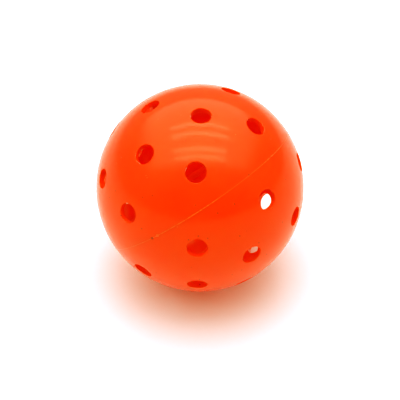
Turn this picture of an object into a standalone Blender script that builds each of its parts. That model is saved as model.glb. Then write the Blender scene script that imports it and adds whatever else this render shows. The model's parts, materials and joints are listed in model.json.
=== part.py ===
"""Outdoor pickleball ball: two perforated half shells, welded rim to rim.

Lengths are in metres and +Z is up. The origin is the ball's centre. Each half is modelled as it
leaves its mould, with the moulding pole on +Z and the seam plane at z = 0. An empty then lays the
assembled ball down, with its pole leaning over.
"""

import math

import bmesh
import bpy
from mathutils import Matrix, Vector

# Driving dimensions.
BALL_DIAMETER = 0.0740
WALL = 0.0018
HOLE_DIAMETER = 0.0068

# Rings of holes in each half: latitude above the seam, holes, longitude of the first (degrees).
# Each half is drilled by itself, to one pattern, so the two sets differ by up to a millimetre.
UPPER_HOLE_RINGS = (
    (16.5, 8, 0.0),
    (39.2, 8, 24.8),
    (68.4, 4, 3.2),
)
LOWER_HOLE_RINGS = (
    (15.9, 8, 0.0),
    (39.2, 8, 22.6),
    (68.1, 4, 4.8),
)

# The lower half is turned over about this line in the seam plane (degrees).
TURNOVER_LONGITUDE = 34.3

# How the ball lies: its pole's angle from vertical, the way it leans, and its turn about the pole.
POLE_LEAN = 42.0
POLE_HEADING = 145.5
POLE_SPIN = 51.5

# The weld: a thin web between the rims, a rounded bead inside and a trimmed ridge outside.
WEB_THICKNESS = 0.0004
RIDGE_HEIGHT = 0.00006
BEAD_WIDTH = 0.0024
BEAD_HEIGHT = 0.0008

# Clearance between pieces that touch on the real ball.
MESH_GAP = 0.0003

# Facets: round the pole, from pole to seam, round a hole and round the bead.
SEGMENTS = 48
ARC_STEPS = 12
HOLE_SIDES = 16
BEAD_STEPS = 6
SHARP_ANGLE = math.radians(30)
SAME_POINT = 1e-6

OUTER_RADIUS = BALL_DIAMETER / 2
INNER_RADIUS = OUTER_RADIUS - WALL
RIM_HEIGHT = WEB_THICKNESS / 2 + MESH_GAP


def clear_scene():
    for old in list(bpy.data.objects):
        bpy.data.objects.remove(old, do_unlink=True)


def plastic(name, colour, roughness):
    """A coloured polyethylene as a Principled BSDF."""
    material = bpy.data.materials.new(name)
    material.use_nodes = True
    shader = material.node_tree.nodes["Principled BSDF"]
    shader.inputs["Base Color"].default_value = (*colour, 1.0)
    shader.inputs["Roughness"].default_value = roughness
    shader.inputs["Metallic"].default_value = 0.0
    material.diffuse_color = (*colour, 1.0)
    return material


def mesh_from(bm, name):
    """Writes a closed bmesh to a new mesh, with its faces pointing out and round faces smooth."""
    bmesh.ops.remove_doubles(bm, verts=bm.verts, dist=SAME_POINT)
    bmesh.ops.recalc_face_normals(bm, faces=bm.faces)
    mesh = bpy.data.meshes.new(name)
    bm.to_mesh(mesh)
    bm.free()
    mesh.shade_smooth()
    mesh.set_sharp_from_angle(angle=SHARP_ANGLE)
    return mesh


def place(name, mesh, parent=None, rotation=Matrix.Identity(4)):
    piece = bpy.data.objects.new(name, mesh)
    bpy.context.scene.collection.objects.link(piece)
    piece.parent = parent
    piece.rotation_euler = rotation.to_euler()
    return piece


def spun(outline, closed):
    """Turns an outline of (radius, height) points about the Z axis into a bmesh."""
    bm = bmesh.new()
    points = [bm.verts.new((radius, 0.0, height)) for radius, height in outline]
    edges = [bm.edges.new(pair) for pair in zip(points, points[1:])]
    if closed:
        edges.append(bm.edges.new((points[-1], points[0])))
    bmesh.ops.spin(
        bm,
        geom=points + edges,
        cent=(0.0, 0.0, 0.0),
        axis=(0.0, 0.0, 1.0),
        angle=math.tau,
        steps=SEGMENTS,
        use_merge=True,
    )
    return bm


def pole_to_rim(radius):
    """(radius, height) points on a sphere, from its pole down to the rim's height."""
    rim_latitude = math.asin(RIM_HEIGHT / radius)
    sweep = math.pi / 2 - rim_latitude
    latitudes = [math.pi / 2 - sweep * i / ARC_STEPS for i in range(1, ARC_STEPS + 1)]
    arc = [(radius * math.cos(a), radius * math.sin(a)) for a in latitudes]
    return [(0.0, radius)] + arc


def blank_shell():
    """The unperforated half: outer skin down to the rim, across it, and back up the inner skin."""
    outline = pole_to_rim(OUTER_RADIUS) + pole_to_rim(INNER_RADIUS)[::-1]
    return place("shell_blank", mesh_from(spun(outline, closed=False), "shell_blank"))


def hole_directions(rings):
    """Unit vectors through the holes of one half."""
    directions = []
    for latitude, count, first in rings:
        rise = math.radians(latitude)
        for i in range(count):
            turn = math.radians(first + 360.0 * i / count)
            directions.append(
                Vector((math.cos(rise) * math.cos(turn), math.cos(rise) * math.sin(turn), math.sin(rise)))
            )
    return directions


def hole_cutter(rings):
    """One round bar through the wall at each hole."""
    bm = bmesh.new()
    middle = (OUTER_RADIUS + INNER_RADIUS) / 2
    for direction in hole_directions(rings):
        aim = direction.to_track_quat("Z", "Y").to_matrix().to_4x4()
        bmesh.ops.create_cone(
            bm,
            cap_ends=True,
            segments=HOLE_SIDES,
            radius1=HOLE_DIAMETER / 2,
            radius2=HOLE_DIAMETER / 2,
            depth=3 * WALL,
            matrix=Matrix.Translation(direction * middle) @ aim,
        )
    cutter = place("hole_cutter", mesh_from(bm, "hole_cutter"))
    cutter.hide_render = True
    cutter.display_type = "WIRE"
    return cutter


def perforated_half(name, rings):
    """The mesh of one half shell, with its holes cut through."""
    blank = blank_shell()
    cutter = hole_cutter(rings)
    cut = blank.modifiers.new("holes", "BOOLEAN")
    cut.operation = "DIFFERENCE"
    cut.solver = "EXACT"
    cut.object = cutter
    depsgraph = bpy.context.evaluated_depsgraph_get()
    bm = bmesh.new()
    bm.from_object(blank, depsgraph)
    bpy.data.objects.remove(blank)
    bpy.data.objects.remove(cutter)
    return mesh_from(bm, name)


def weld_ring():
    """The weld's section, turned about the pole: ridge outside, web between the rims, bead inside."""
    ridge = OUTER_RADIUS + RIDGE_HEIGHT
    root = INNER_RADIUS - MESH_GAP
    web = WEB_THICKNESS / 2
    outline = [(root, -web), (ridge, -web), (ridge, web), (root, web)]
    for i in range(BEAD_STEPS + 1):
        turn = math.pi * i / BEAD_STEPS
        outline.append((root - BEAD_HEIGHT * math.sin(turn), BEAD_WIDTH / 2 * math.cos(turn)))
    return mesh_from(spun(outline, closed=True), "seam_weld")


def turned(degrees, axis):
    return Matrix.Rotation(math.radians(degrees), 4, axis)


def main():
    clear_scene()
    lie = turned(POLE_HEADING, "Z") @ turned(POLE_LEAN, "Y") @ turned(POLE_SPIN, "Z")
    turnover_line = Vector((1.0, 0.0, 0.0))
    turnover_line.rotate(turned(TURNOVER_LONGITUDE, "Z"))

    moulding_axes = place("moulding_axes", None, rotation=lie)
    orange = plastic("shell_orange", (1.0, 0.055, 0.004), 0.28)
    upper = perforated_half("upper_half_shell", UPPER_HOLE_RINGS)
    lower = perforated_half("lower_half_shell", LOWER_HOLE_RINGS)
    upper.materials.append(orange)
    lower.materials.append(orange)
    place("upper_half_shell", upper, moulding_axes)
    place("lower_half_shell", lower, moulding_axes, turned(180.0, turnover_line))

    ring = weld_ring()
    ring.materials.append(plastic("weld_orange", (1.0, 0.12, 0.02), 0.40))
    place("seam_weld", ring, moulding_axes)


main()
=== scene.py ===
"""The looks of a hollow outdoor pickleball: moulded half shells, their weld, and a soft studio.

Lengths are in metres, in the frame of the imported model: +Z is up and the origin is the ball's
centre. Each half is worked out about its own moulding pole, then turned into that frame.
"""

import json
import math

import bpy
import numpy as np
from mathutils import Matrix, Vector, geometry, noise


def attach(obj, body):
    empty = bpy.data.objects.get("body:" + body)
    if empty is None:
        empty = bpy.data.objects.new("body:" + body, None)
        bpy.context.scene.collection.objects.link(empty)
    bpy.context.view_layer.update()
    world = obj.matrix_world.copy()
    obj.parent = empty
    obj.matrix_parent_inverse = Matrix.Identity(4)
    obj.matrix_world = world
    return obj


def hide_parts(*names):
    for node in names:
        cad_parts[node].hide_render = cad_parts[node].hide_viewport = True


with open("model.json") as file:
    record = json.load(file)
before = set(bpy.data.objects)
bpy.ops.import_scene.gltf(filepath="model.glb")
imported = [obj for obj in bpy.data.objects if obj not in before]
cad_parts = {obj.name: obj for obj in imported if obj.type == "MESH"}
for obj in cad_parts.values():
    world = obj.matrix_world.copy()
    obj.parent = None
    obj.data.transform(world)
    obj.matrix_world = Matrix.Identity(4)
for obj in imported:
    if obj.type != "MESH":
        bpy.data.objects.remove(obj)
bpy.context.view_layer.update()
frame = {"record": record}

MM = 0.001

# The ball, as its solids are designed. It rests on its lowest point, which is its only mount.
BALL_RADIUS = -frame["record"]["mounts"][0]["pos_m"][2]
WALL = 1.8 * MM
UPPER_HOLE_RINGS = (
    (16.5, 8, 0.0),
    (39.2, 8, 24.8),
    (68.4, 4, 3.2),
)
LOWER_HOLE_RINGS = (
    (15.9, 8, 0.0),
    (39.2, 8, 22.6),
    (68.1, 4, 4.8),
)
TURNOVER_LONGITUDE = 34.3
POLE_LEAN = 42.0
POLE_HEADING = 145.5
POLE_SPIN = 51.5

# A hair under the solids' 3.4 mm, which would show a sliver of floor where the photo has none.
HOLE_RADIUS = 3.36 * MM

# Rounding of the moulded edges.
OUTER_LIP = 0.18 * MM
INNER_LIP = 0.12 * MM
RIM_LIP = 0.03 * MM

# The rims meet the weld this far from the seam plane.
RIM_HEIGHT = 0.03 * MM

# Mesh fineness. Supports are rows of points (distance, count) that grade an edge into the
# lattice, which starts at its clearance from the edge.
HOLE_SEGMENTS = 72
RIM_SEGMENTS = 480
LIP_STEPS = 5
LATTICE_STEP = 1.3 * MM
INNER_LATTICE_STEP = 2.2 * MM
HOLE_SUPPORTS = ((0.3 * MM, 72), (0.8 * MM, 60), (1.6 * MM, 48), (2.7 * MM, 40))
RIM_SUPPORTS = ((0.35 * MM, 480), (0.9 * MM, 300), (1.8 * MM, 200))
HOLE_CLEARANCE = 3.6 * MM
RIM_CLEARANCE = 2.7 * MM
GOLDEN_TURN = math.pi * (3 - math.sqrt(5))
SAME_POINT = 1e-7

# The weld: a trimmed ridge outside, a web between the rims, and a bead inside that is rooted a
# little way into the wall. A fullness below 1 makes the bead's section squarer than round.
WELD_SEGMENTS = 900
RIDGE_HALF_WIDTH = 0.15 * MM
RIDGE_LEAST_HALF_WIDTH = 0.065 * MM
RIDGE_HEIGHT = 0.05 * MM
RIDGE_DEPTH = 0.06 * MM
RIDGE_STEPS = 8
WEB_HALF_THICKNESS = 0.028 * MM
BEAD_HALF_WIDTH = 1.2 * MM
BEAD_HEIGHT = 0.5 * MM
BEAD_ROOT = 0.1 * MM
BEAD_FULLNESS = 0.7
BEAD_STEPS = 12
SHARP_ANGLE = math.radians(50)

# How proud the trimmed ridge was left along the seam: longitude in degrees, share of full size.
RIDGE_STRETCHES = (
    (0.0, 0.3),
    (40.0, 0.25),
    (52.0, 0.85),
    (88.0, 0.75),
    (98.0, 0.15),
    (118.0, 0.2),
    (124.0, 0.8),
    (170.0, 0.7),
    (215.0, 0.3),
    (255.0, 0.8),
    (300.0, 0.5),
    (360.0, 0.3),
)

# What varies at random along the seam: how far, how fast and a seed.
RIDGE_SWELL = (0.8, 14.0, 8.7)
RIDGE_CHATTER = (1.4, 60.0, 2.2)
RIDGE_DRIFT = (0.04 * MM, 9.0, 5.5)
BEAD_SWELL = (0.2, 11.0, 1.3)
BEAD_SPREAD = (0.15, 8.0, 6.4)

# Limits to the ridge's share, and to how much of that its height follows.
RIDGE_LEAST_SHARE = 0.1
RIDGE_MOST_SHARE = 1.2
RIDGE_TALLEST_SHARE = 1.5

# A burr the trimming left, and the pit torn out beside it: longitude, half length, size.
BURR_LONGITUDE = 55.4
BURR_HALF_LENGTH = 0.9
BURR_SIZE = 2.6
TEAR_LONGITUDE = 51.7
TEAR_RADIUS = 0.5 * MM

# The plastic: its colours, which mottle between deep and bright.
DEEP_ORANGE = (1.0, 0.023, 0.0)
BRIGHT_ORANGE = (1.0, 0.039, 0.001)
# Painted light: a lighter orange for the inner skin, so the hollow seen through the holes looks
# brighter than the light inside it makes it.
INNER_PAINTED_LIGHT_ORANGE = (1.0, 0.070, 0.004)
DEEP_WELD = (1.0, 0.06, 0.008)
BRIGHT_WELD = (1.0, 0.12, 0.03)
PIT_COLOUR = (0.3, 0.005, 0.0)
DUST_COLOUR = (1.0, 0.16, 0.06)

# Painted light: the inner skin is given a lighter orange, standing in for light inside the hollow,
# which light reaches only through the holes. This paint reaches this far into the wall.
PAINTED_LIGHT_DEPTH = 0.15 * MM

# Its roughness, and the share of light that enters it and comes out again nearby.
SHELL_ROUGHNESS = 0.13
SHELL_SUBSURFACE = 0.4
WELD_ROUGHNESS = 0.4
WELD_SUBSURFACE = 0.0
ROUGHNESS_SPREAD = 0.03
SUBSURFACE_RADIUS = (1.0, 0.12, 0.03)
SUBSURFACE_SCALE = 1.5 * MM
PLASTIC_IOR = 1.3
SPECULAR_TINT = (1.0, 1.0, 0.7)

# Its marks. Noises are cycles per metre and detail; spots are their spacing and radius, and are
# solid out to a share of that radius.
FLOW_NOISE = (110.0, 4.0)
GLOSS_NOISE = (260.0, 6.0)
RIPPLE_NOISE = (70.0, 2.0)
RIPPLE_DEPTH = 0.006 * MM
PEEL_NOISE = (1400.0, 3.0)
PEEL_DEPTH = 0.0008 * MM
PIT_SPOTS = (3.6 * MM, 0.24 * MM)
PIT_DEPTH = 0.06 * MM
DUST_SPOTS = (3.8 * MM, 0.15 * MM)
SPOT_CORE = 0.6

# The paper floor, whose half size is in ball radii.
FLOOR_HALF_SIZE = 60
FIBRE_NOISE = (600.0, 4.0)
FIBRE_DEPTH = 0.02 * MM
FIBRE_STRENGTH = 0.3
DEEP_PAPER = (0.91, 0.91, 0.91)
BRIGHT_PAPER = (0.935, 0.935, 0.935)
PAPER_ROUGHNESS = (0.75, 0.9)
PAPER_SPECULAR = 0.1

# The white tent: radiance at its horizon and zenith, how late it rises between them, what is left
# of it at the open front, where the camera stands, and on the right, and a bright skirting. Edges
# are where a side begins and ends, along Y or X of a unit direction.
TENT_COLOUR = (0.96, 0.97, 1.0)
TENT_HORIZON = 0.52
TENT_ZENITH = 2.45
TENT_RISE = 2.1
TENT_FRONT = 0.15
TENT_FRONT_EDGES = (-0.8, -0.35)
TENT_RIGHT = 0.7
TENT_RIGHT_EDGES = (0.3, 0.9)
SKIRTING = 1.0
SKIRTING_HEIGHT = 0.12

# The key lamp overhead, in ball radii: how far back it hangs, its height and side, and its
# radiance. It hangs close, so its light falls off across the floor.
KEY_BACK = 0.5
KEY_HEIGHT = 10.0
KEY_SIDE = 8.0
KEY_RADIANCE = 2.5

# The softbox, seen only as a reflection: its height above the ball, in ball radii. Its pattern is
# in tangents of the angle from overhead, across the picture and away from the camera. A band is
# its centre, half width and blur.
SOFTBOX_HEIGHT = 10.0
SOFTBOX_HALF_SIZE = 1.8
GLOW_RADIANCE = 2.0
GLOW_ACROSS = (-0.05, 1.3, 1.1)
GLOW_ALONG = (0.55, 1.12, 0.26)
STRIP_RADIANCE = 6.8
STRIP_ACROSS = (0.0, 0.53, 0.08)
STRIPS_ALONG = (0.324, 0.09, -0.24, -0.42)
STRIP_HALF_WIDTH = 0.035
STRIP_BLUR = 0.06

# The camera: its angle above the ball, its distance in ball radii, how far below the ball's
# centre it aims, and its lens and sensor in millimetres.
CAMERA_ELEVATION = math.radians(38.0)
CAMERA_DISTANCE = 7.0
CAMERA_DROOP = math.radians(0.96)
CAMERA_LENS = 64.8
CAMERA_SENSOR = 36.0

# How the camera renders red and blue: a gamma for each, drawn through these linear levels.
RED_GAMMA = 0.75
BLUE_GAMMA = 1.44
RESPONSE_LEVELS = (0.03, 0.1, 0.25, 0.5, 0.75)

# Light goes round the hollow inside many times before it leaves.
BOUNCES = 24


def turned(degrees, axis):
    return Matrix.Rotation(math.radians(degrees), 3, axis)


LIE = turned(POLE_HEADING, "Z") @ turned(POLE_LEAN, "Y") @ turned(POLE_SPIN, "Z")
TURNOVER = turned(180.0, turned(TURNOVER_LONGITUDE, "Z") @ Vector((1.0, 0.0, 0.0)))


def unit(latitude, longitude):
    """Unit vectors, as rows, for latitudes and longitudes in radians."""
    latitude, longitude = np.broadcast_arrays(latitude, longitude)
    return np.stack(
        (
            np.cos(latitude) * np.cos(longitude),
            np.cos(latitude) * np.sin(longitude),
            np.sin(latitude),
        ),
        axis=-1,
    )


def hole_axes(rings):
    """Unit vectors, as rows, through the holes of one half."""
    axes = []
    for latitude, count, first in rings:
        longitudes = np.radians(first + 360.0 * np.arange(count) / count)
        axes.append(unit(math.radians(latitude), longitudes))
    return np.vstack(axes)


def square_to(axis):
    """Two unit vectors square to an axis and to each other."""
    side = Vector(axis).orthogonal().normalized()
    return np.array(side), np.cross(axis, side)


def ring(axis, radius, height, count, phase=0.0):
    """Points on a circle about an axis through the centre."""
    side, other = square_to(axis)
    turn = 2 * np.pi * (np.arange(count) + phase) / count
    return height * axis + radius * (np.outer(np.cos(turn), side) + np.outer(np.sin(turn), other))


def lattice(step, radius):
    """Evenly spread directions over the upper hemisphere, about a step apart on a radius."""
    count = int(2 * math.pi * (radius / step) ** 2 * 2 / math.sqrt(3))
    index = np.arange(count) + 0.5
    return unit(np.arcsin(1 - index / count), GOLDEN_TURN * index)


def edge_of(radius, lip, wall_side):
    """Where a hole's lip meets a skin: the lip circle's centre and its angle from the hole's axis.

    wall_side is -1 on the outer skin, whose wall lies towards the centre, and 1 on the inner one.
    """
    away = HOLE_RADIUS + lip
    reach = radius + wall_side * lip
    along = math.sqrt(reach**2 - away**2)
    return away, along, math.atan2(away, along)


def rim_edge_of(radius, lip, wall_side):
    """The same for the rim: the lip circle's centre, and the latitude where it meets the skin."""
    up = RIM_HEIGHT + lip
    reach = radius + wall_side * lip
    out = math.sqrt(reach**2 - up**2)
    return out, up, math.atan2(up, out)


def skin(holes, radius, step, lip, rim_lip, wall_side):
    """Directions and triangles over one skin of a half shell, with its hole and rim loops."""
    hole_angle = edge_of(radius, lip, wall_side)[2]
    rim_latitude = rim_edge_of(radius, rim_lip, wall_side)[2]
    rows, loops, count = [], [], 0

    def add(directions, loop=False):
        nonlocal count
        rows.append(directions)
        if loop:
            loops.append(np.arange(count, count + len(directions)))
        count += len(directions)

    def rim_row(latitude, segments, phase=0.0):
        return unit(latitude, 2 * np.pi * (np.arange(segments) + phase) / segments)

    for axis in holes:
        add(ring(axis, math.sin(hole_angle), math.cos(hole_angle), HOLE_SEGMENTS), loop=True)
    add(rim_row(rim_latitude, RIM_SEGMENTS), loop=True)
    for number, (distance, segments) in enumerate(HOLE_SUPPORTS, 1):
        angle = hole_angle + distance / radius
        for axis in holes:
            add(ring(axis, math.sin(angle), math.cos(angle), segments, phase=0.5 * (number % 2)))
    for number, (distance, segments) in enumerate(RIM_SUPPORTS, 1):
        add(rim_row(rim_latitude + distance / radius, segments, phase=0.5 * (number % 2)))
    spread = lattice(step, radius)
    clear = np.arccos(np.clip(spread @ holes.T, -1, 1)).min(axis=1)
    clear_of_holes = clear > hole_angle + HOLE_CLEARANCE / radius
    clear_of_rim = np.arcsin(spread[:, 2]) > rim_latitude + RIM_CLEARANCE / radius
    add(spread[clear_of_holes & clear_of_rim])

    directions = np.vstack(rows)
    flat = directions[:, :2] / (1 + directions[:, 2:])
    edges = [pair for loop in loops for pair in zip(loop.tolist(), np.roll(loop, -1).tolist())]
    made = geometry.delaunay_2d_cdt([Vector(p) for p in flat.tolist()], edges, [], 0, SAME_POINT)
    source = np.array([origins[0] for origins in made[3]])
    triangles = source[np.array(made[2])]
    middles = directions[triangles].mean(axis=1)
    middles /= np.linalg.norm(middles, axis=1, keepdims=True)
    nearest = np.arccos(np.clip(middles @ holes.T, -1, 1)).min(axis=1)
    return directions, triangles[nearest > hole_angle], loops


def arc(centre, radius, start, end, steps):
    """(point, normal) pairs between two angles on a circle, without its two ends."""
    pairs = []
    for i in range(1, steps):
        angle = start + (end - start) * i / steps
        normal = np.array((math.cos(angle), math.sin(angle)))
        pairs.append((np.array(centre) + radius * normal, normal))
    return pairs


def hole_profile():
    """(distance from the hole's axis, height) and normals, from outer skin to inner skin."""
    outer_away, outer_along, outer_angle = edge_of(BALL_RADIUS, OUTER_LIP, -1)
    inner_radius = BALL_RADIUS - WALL
    inner_away, inner_along, inner_angle = edge_of(inner_radius, INNER_LIP, 1)
    towards_axis = math.pi
    pairs = arc(
        (outer_away, outer_along), OUTER_LIP, math.pi / 2 - outer_angle, towards_axis, LIP_STEPS
    )
    wall_normal = np.array((-1.0, 0.0))
    for share in (0.0, 0.5, 1.0):
        height = outer_along + (inner_along - outer_along) * share
        pairs.append((np.array((HOLE_RADIUS, height)), wall_normal))
    pairs += arc(
        (inner_away, inner_along), INNER_LIP, towards_axis, 1.5 * math.pi - inner_angle, LIP_STEPS
    )
    return pairs


def rim_profile():
    """(distance from the pole's axis, height) and normals, from outer skin to inner skin."""
    outer_out, outer_up, outer_angle = rim_edge_of(BALL_RADIUS, RIM_LIP, -1)
    inner_out, inner_up, inner_angle = rim_edge_of(BALL_RADIUS - WALL, RIM_LIP, 1)
    down = -math.pi / 2
    pairs = arc((outer_out, outer_up), RIM_LIP, outer_angle, down, LIP_STEPS)
    down_normal = np.array((0.0, -1.0))
    pairs.append((np.array((outer_out, RIM_HEIGHT)), down_normal))
    pairs.append((np.array((inner_out, RIM_HEIGHT)), down_normal))
    pairs += arc((inner_out, inner_up), RIM_LIP, down, -math.pi + inner_angle, LIP_STEPS)
    return pairs


def half_shell_parts(holes):
    """Points, normals and faces of one closed half shell, about its own pole."""
    points, normals, faces = [], [], []
    count = 0

    def add(some, their_normals):
        nonlocal count
        points.append(some)
        normals.append(their_normals)
        count += len(some)
        return np.arange(count - len(some), count)

    def bridge(upper, lower):
        after_upper, after_lower = np.roll(upper, -1), np.roll(lower, -1)
        faces.extend(np.stack((upper, after_upper, after_lower, lower), axis=1).tolist())

    inner_radius = BALL_RADIUS - WALL
    outer = skin(holes, BALL_RADIUS, LATTICE_STEP, OUTER_LIP, RIM_LIP, -1)
    inner = skin(holes, inner_radius, INNER_LATTICE_STEP, INNER_LIP, RIM_LIP, 1)
    outer_ids = add(outer[0] * BALL_RADIUS, outer[0])
    inner_ids = add(inner[0] * inner_radius, -inner[0])
    faces.extend(outer_ids[outer[1]].tolist())
    faces.extend(inner_ids[inner[1]].tolist())
    through_hole, round_rim = hole_profile(), rim_profile()
    pole = np.array((0.0, 0.0, 1.0))
    outward = unit(0.0, 2 * np.pi * np.arange(RIM_SEGMENTS) / RIM_SEGMENTS)
    for number, (outer_loop, inner_loop) in enumerate(zip(outer[2], inner[2])):
        is_rim = number == len(holes)
        last = outer_ids[outer_loop]
        for (away, along), (normal_away, normal_along) in round_rim if is_rim else through_hole:
            if is_rim:
                here = add(
                    away * outward + along * pole,
                    normal_away * outward + normal_along * pole,
                )
            else:
                axis = holes[number]
                here = add(
                    ring(axis, away, along, HOLE_SEGMENTS),
                    ring(axis, normal_away, normal_along, HOLE_SEGMENTS),
                )
            bridge(last, here)
            last = here
        bridge(last, inner_ids[inner_loop])
    points, normals = np.vstack(points), np.vstack(normals)
    return points, normals, facing_out(points, normals, faces)


def facing_out(points, normals, faces):
    """Each face wound so that it faces the way its corners' normals point."""
    wound = []
    for face in faces:
        a, b, c = points[face[0]], points[face[1]], points[face[2]]
        outward = np.cross(b - a, c - a) @ normals[face].sum(axis=0)
        wound.append(face if outward > 0 else face[::-1])
    return wound


def half_shell(name, rings, turn):
    """One perforated half, turned from its moulding pole into the ball."""
    points, normals, faces = half_shell_parts(hole_axes(rings))
    matrix = np.array(LIE @ turn)
    mesh = bpy.data.meshes.new(name)
    mesh.from_pydata((points @ matrix.T).tolist(), [], faces)
    mesh.shade_smooth()
    mesh.normals_split_custom_set_from_vertices((normals @ matrix.T).tolist())
    mesh.update()
    return shown(name, mesh)


def shown(name, mesh):
    piece = bpy.data.objects.new(name, mesh)
    bpy.context.scene.collection.objects.link(piece)
    return piece


def wander(longitude, amount, pace, seed):
    """A smooth random value, up to an amount either way, that closes on itself round the seam."""
    at = Vector((math.cos(longitude) * pace, math.sin(longitude) * pace, seed))
    return amount * noise.noise(at)


def ridge_share(longitude):
    """How much of its full size the ridge has at one longitude of the seam."""
    degrees = math.degrees(longitude)
    share = np.interp(degrees, *zip(*RIDGE_STRETCHES))
    share *= 1.0 + wander(longitude, *RIDGE_SWELL) + wander(longitude, *RIDGE_CHATTER)
    burr = math.exp(-(((degrees - BURR_LONGITUDE) / BURR_HALF_LENGTH) ** 2))
    return min(max(share, RIDGE_LEAST_SHARE), RIDGE_MOST_SHARE) + BURR_SIZE * burr


def weld_section(longitude):
    """(radius, height) round the weld's section at one longitude of the seam."""
    share = ridge_share(longitude)
    drift = wander(longitude, *RIDGE_DRIFT)
    width = max(RIDGE_HALF_WIDTH * share, RIDGE_LEAST_HALF_WIDTH)
    height = RIDGE_HEIGHT * min(share, RIDGE_TALLEST_SHARE)
    base = BALL_RADIUS - RIDGE_DEPTH
    section = []
    for i in range(RIDGE_STEPS + 1):
        angle = math.pi * i / RIDGE_STEPS
        rise = (RIDGE_DEPTH + height) * math.sin(angle)
        section.append((base + rise, drift - width * math.cos(angle)))
    bead = BEAD_HEIGHT * (1.0 + wander(longitude, *BEAD_SWELL))
    spread = BEAD_HALF_WIDTH * (1.0 + wander(longitude, *BEAD_SPREAD))
    root = BALL_RADIUS - WALL + BEAD_ROOT
    section.append((base, WEB_HALF_THICKNESS))
    section.append((root, WEB_HALF_THICKNESS))
    for i in range(BEAD_STEPS + 1):
        angle = math.pi * i / BEAD_STEPS
        fall = bead * math.sin(angle) ** BEAD_FULLNESS
        section.append((root - fall, spread * math.cos(angle)))
    section.append((root, -WEB_HALF_THICKNESS))
    section.append((base, -WEB_HALF_THICKNESS))
    return section


def weld(name):
    """One closed ring along the seam."""
    points, faces = [], []
    for j in range(WELD_SEGMENTS):
        longitude = 2 * math.pi * j / WELD_SEGMENTS
        for radius, height in weld_section(longitude):
            points.append((radius * math.cos(longitude), radius * math.sin(longitude), height))
    around = len(points) // WELD_SEGMENTS
    for j in range(WELD_SEGMENTS):
        here, following = j * around, (j + 1) % WELD_SEGMENTS * around
        for i in range(around):
            beside = (i + 1) % around
            faces.append((here + i, following + i, following + beside, here + beside))
    mesh = bpy.data.meshes.new(name)
    placed = np.array(points) @ np.array(LIE).T
    mesh.from_pydata(placed.tolist(), [], faces)
    mesh.shade_smooth()
    mesh.set_sharp_from_angle(angle=SHARP_ANGLE)
    return shown(name, mesh)


def node(tree, kind, inputs=None, **settings):
    """A new node. An input's value is a number, a vector or another node's output."""
    made = tree.nodes.new(kind)
    for key, value in settings.items():
        setattr(made, key, value)
    for key, value in (inputs or {}).items():
        if isinstance(value, bpy.types.NodeSocket):
            tree.links.new(value, made.inputs[key])
        else:
            made.inputs[key].default_value = value
    return made


def calculated(tree, operation, *values):
    """The result of one operation on numbers or outputs."""
    inputs = dict(enumerate(values))
    return node(tree, "ShaderNodeMath", inputs, operation=operation).outputs[0]


def ranged(tree, value, start, end, low=0.0, high=1.0, **settings):
    """Goes from low, where the value is at the start, to high, where it is at the end."""
    inputs = {"Value": value, "From Min": start, "From Max": end, "To Min": low, "To Max": high}
    return node(tree, "ShaderNodeMapRange", inputs, **settings).outputs["Result"]


def mixed(tree, factor, first, second):
    """A colour between two colours or colour outputs."""
    inputs = {"Factor": factor}
    for key, value in (("A", first), ("B", second)):
        inputs[key] = value if isinstance(value, bpy.types.NodeSocket) else (*value, 1.0)
    return node(tree, "ShaderNodeMix", inputs, data_type="RGBA").outputs["Result"]


def noise_map(tree, place, scale, detail):
    inputs = {"Vector": place, "Scale": scale, "Detail": detail}
    return node(tree, "ShaderNodeTexNoise", inputs).outputs["Fac"]


def spotted(tree, distance, radius):
    """1 near a point, falling to 0 at a radius from it."""
    return ranged(tree, distance, radius, SPOT_CORE * radius)


def scattered(tree, place, cell, radius):
    """1 inside sparse round spots and 0 outside: a spot wherever a cell's point meets the skin."""
    cells = node(tree, "ShaderNodeTexVoronoi", {"Vector": place, "Scale": 1 / cell})
    return spotted(tree, cells.outputs["Distance"], radius / cell)


def band(tree, value, centre, half_width, blur):
    """1 within half a width of the centre and 0 beyond it, with blurred edges."""
    distance = calculated(tree, "ABSOLUTE", calculated(tree, "SUBTRACT", value, centre))
    outer, inner = half_width + blur / 2, half_width - blur / 2
    return ranged(tree, distance, outer, inner, interpolation_type="SMOOTHSTEP")


def surface(name):
    """A new material, its node tree, its shader and where on the object a point is."""
    material = bpy.data.materials.new(name)
    material.use_nodes = True
    tree = material.node_tree
    place = node(tree, "ShaderNodeTexCoord").outputs["Object"]
    return material, tree, tree.nodes["Principled BSDF"], place


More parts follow.
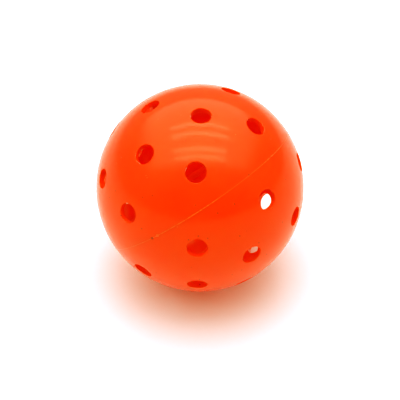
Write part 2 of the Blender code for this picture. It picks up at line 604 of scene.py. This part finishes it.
def plastic(name, deep, bright, roughness, subsurface):
    """Coloured polyethylene: faint flow mottling, a soft moulded gloss, pits and dust, and painted
    light on the inner skin.
    """
    material, tree, shader, place = surface(name)

    tear_at = LIE @ Vector(unit(0.0, math.radians(TEAR_LONGITUDE)).tolist()) * BALL_RADIUS
    from_tear = node(
        tree, "ShaderNodeVectorMath", {0: place, 1: tuple(tear_at)}, operation="DISTANCE"
    )
    torn = spotted(tree, from_tear.outputs["Value"], TEAR_RADIUS)
    pits = calculated(tree, "MAXIMUM", scattered(tree, place, *PIT_SPOTS), torn)
    dust = scattered(tree, place, *DUST_SPOTS)
    flow = mixed(tree, noise_map(tree, place, *FLOW_NOISE), deep, bright)
    marked = mixed(tree, pits, mixed(tree, dust, flow, DUST_COLOUR), PIT_COLOUR)
    from_centre = node(tree, "ShaderNodeVectorMath", {0: place}, operation="LENGTH")
    inner_radius = BALL_RADIUS - WALL
    # Painted light: the inner skin is mixed to a lighter orange, standing in for light inside the
    # hollow.
    inside = ranged(
        tree, from_centre.outputs["Value"], inner_radius + PAINTED_LIGHT_DEPTH, inner_radius
    )
    tree.links.new(mixed(tree, inside, marked, INNER_PAINTED_LIGHT_ORANGE), shader.inputs["Base Color"])

    gloss = noise_map(tree, place, *GLOSS_NOISE)
    smoothest, roughest = roughness - ROUGHNESS_SPREAD, roughness + ROUGHNESS_SPREAD
    varied = ranged(tree, gloss, 0.0, 1.0, smoothest, roughest)
    tree.links.new(varied, shader.inputs["Roughness"])

    normal = None
    for height, depth in (
        (noise_map(tree, place, *RIPPLE_NOISE), RIPPLE_DEPTH),
        (noise_map(tree, place, *PEEL_NOISE), PEEL_DEPTH),
        (pits, -PIT_DEPTH),
    ):
        inputs = {"Height": height, "Strength": 1.0, "Distance": abs(depth)}
        if normal:
            inputs["Normal"] = normal
        normal = node(tree, "ShaderNodeBump", inputs, invert=depth < 0).outputs["Normal"]
    tree.links.new(normal, shader.inputs["Normal"])

    shader.inputs["IOR"].default_value = PLASTIC_IOR
    shader.inputs["Specular Tint"].default_value = (*SPECULAR_TINT, 1.0)
    shader.inputs["Subsurface Weight"].default_value = subsurface
    shader.inputs["Subsurface Radius"].default_value = SUBSURFACE_RADIUS
    shader.inputs["Subsurface Scale"].default_value = SUBSURFACE_SCALE
    return material


def paper():
    """White backdrop paper: faint fibre mottling and a slight tooth."""
    material, tree, shader, place = surface("white_paper")
    fibres = noise_map(tree, place, *FIBRE_NOISE)
    colour = mixed(tree, fibres, DEEP_PAPER, BRIGHT_PAPER)
    tree.links.new(colour, shader.inputs["Base Color"])
    varied = ranged(tree, fibres, 0.0, 1.0, *PAPER_ROUGHNESS)
    tree.links.new(varied, shader.inputs["Roughness"])
    inputs = {"Height": fibres, "Strength": FIBRE_STRENGTH, "Distance": FIBRE_DEPTH}
    tooth = node(tree, "ShaderNodeBump", inputs)
    tree.links.new(tooth.outputs["Normal"], shader.inputs["Normal"])
    shader.inputs["Specular IOR Level"].default_value = PAPER_SPECULAR
    return material


def studio():
    """A sheet of white paper under the ball, in a white tent lit from overhead."""
    size = FLOOR_HALF_SIZE * BALL_RADIUS
    mesh = bpy.data.meshes.new("floor")
    corners = [(-size, -size, 0), (size, -size, 0), (size, size, 0), (-size, size, 0)]
    mesh.from_pydata(corners, [], [(0, 1, 2, 3)])
    floor = shown("floor", mesh)
    floor.location.z = -BALL_RADIUS
    mesh.materials.append(paper())

    tent()
    softbox()
    key = lamp("key", KEY_SIDE, KEY_RADIANCE, (0.0, KEY_BACK, KEY_HEIGHT))
    key.visible_glossy = False


def tent():
    """Walls that brighten upwards, darker at the open front and on the right, with a skirting."""
    world = bpy.data.worlds.new("tent")
    bpy.context.scene.world = world
    world.use_nodes = True
    tree = world.node_tree
    background = tree.nodes["Background"]
    background.inputs["Color"].default_value = (*TENT_COLOUR, 1.0)
    towards = node(tree, "ShaderNodeTexCoord").outputs["Generated"]
    parts = node(tree, "ShaderNodeSeparateXYZ", {"Vector": towards}).outputs
    up = calculated(tree, "MAXIMUM", parts["Z"], 0.0)
    rise = calculated(tree, "POWER", up, TENT_RISE)
    walls = calculated(tree, "MULTIPLY_ADD", rise, TENT_ZENITH - TENT_HORIZON, TENT_HORIZON)
    front = ranged(tree, parts["Y"], *TENT_FRONT_EDGES, TENT_FRONT, 1.0)
    right = ranged(tree, parts["X"], *TENT_RIGHT_EDGES, 1.0, TENT_RIGHT)
    sides = calculated(tree, "MULTIPLY", front, right)
    strength = calculated(tree, "MULTIPLY", walls, sides)
    skirting = ranged(tree, parts["Z"], 0.0, SKIRTING_HEIGHT, SKIRTING, 0.0)
    brighter = calculated(tree, "MAXIMUM", strength, skirting)
    tree.links.new(brighter, background.inputs["Strength"])


def lamp(name, side, radiance, place):
    """A square area lamp, looking down, as bright whatever its size; lengths in ball radii."""
    data = bpy.data.lights.new(name, "AREA")
    data.size = side * BALL_RADIUS
    data.energy = radiance * math.pi * data.size**2
    made = bpy.data.objects.new(name, data)
    made.location = Vector(place) * BALL_RADIUS
    bpy.context.scene.collection.objects.link(made)
    return made


def softbox():
    """A square lamp overhead with a soft glow and four brighter strips across it."""
    side = 2 * SOFTBOX_HALF_SIZE * SOFTBOX_HEIGHT
    made = lamp("softbox", side, 1.0, (0.0, 0.0, 1 + SOFTBOX_HEIGHT))
    made.visible_diffuse = False
    made.data.use_nodes = True
    tree = made.data.node_tree
    inputs = {
        "Vector": node(tree, "ShaderNodeNewGeometry").outputs["Parametric"],
        "Location": (-SOFTBOX_HALF_SIZE, -SOFTBOX_HALF_SIZE, 0.0),
        "Scale": (2 * SOFTBOX_HALF_SIZE, 2 * SOFTBOX_HALF_SIZE, 1.0),
    }
    place = node(tree, "ShaderNodeMapping", inputs).outputs["Vector"]
    parts = node(tree, "ShaderNodeSeparateXYZ", {"Vector": place}).outputs
    across, along = parts["X"], parts["Y"]
    glow = calculated(
        tree, "MULTIPLY", band(tree, across, *GLOW_ACROSS), band(tree, along, *GLOW_ALONG)
    )
    total = calculated(tree, "MULTIPLY", glow, GLOW_RADIANCE)
    length = calculated(tree, "MULTIPLY", band(tree, across, *STRIP_ACROSS), STRIP_RADIANCE)
    for centre in STRIPS_ALONG:
        strip = band(tree, along, centre, STRIP_HALF_WIDTH, STRIP_BLUR)
        total = calculated(tree, "MULTIPLY_ADD", strip, length, total)
    tree.links.new(total, tree.nodes["Emission"].inputs["Strength"])


def camera():
    """The camera in front of the ball, looking down at it."""
    data = bpy.data.cameras.new("camera")
    data.sensor_width = CAMERA_SENSOR
    data.lens = CAMERA_LENS
    made = bpy.data.objects.new("camera", data)
    away = CAMERA_DISTANCE * BALL_RADIUS
    back, up = away * math.cos(CAMERA_ELEVATION), away * math.sin(CAMERA_ELEVATION)
    made.location = (0.0, -back, up)
    made.rotation_euler = (math.pi / 2 - CAMERA_ELEVATION - CAMERA_DROOP, 0.0, 0.0)
    bpy.context.scene.collection.objects.link(made)
    bpy.context.scene.camera = made


def camera_response():
    """The Standard view, with a camera's way with strong oranges: red lifted, blue held down."""
    view = bpy.context.scene.view_settings
    view.view_transform = "Standard"
    view.use_curve_mapping = True
    red, _, blue, _ = view.curve_mapping.curves
    for level in RESPONSE_LEVELS:
        red.points.new(level, level**RED_GAMMA)
        blue.points.new(level, level**BLUE_GAMMA)
    view.curve_mapping.update()


def main():
    shell_orange = plastic(
        "shell_orange", DEEP_ORANGE, BRIGHT_ORANGE, SHELL_ROUGHNESS, SHELL_SUBSURFACE
    )
    weld_orange = plastic("weld_orange", DEEP_WELD, BRIGHT_WELD, WELD_ROUGHNESS, WELD_SUBSURFACE)
    upper = half_shell("upper_half", UPPER_HOLE_RINGS, Matrix.Identity(3))
    lower = half_shell("lower_half", LOWER_HOLE_RINGS, TURNOVER)
    seam = weld("weld_line")
    for piece, stands_for, slot, material in (
        (upper, "upper_half_shell", "shell_plastic", shell_orange),
        (lower, "lower_half_shell", "shell_plastic", shell_orange),
        (seam, "seam_weld", "weld_plastic", weld_orange),
    ):
        piece.data.materials.append(material)
        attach(piece, "root")
        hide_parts(stands_for)
    studio()
    camera()
    camera_response()
    bpy.context.scene.cycles.max_bounces = BOUNCES
    bpy.context.scene.cycles.diffuse_bounces = BOUNCES


main()
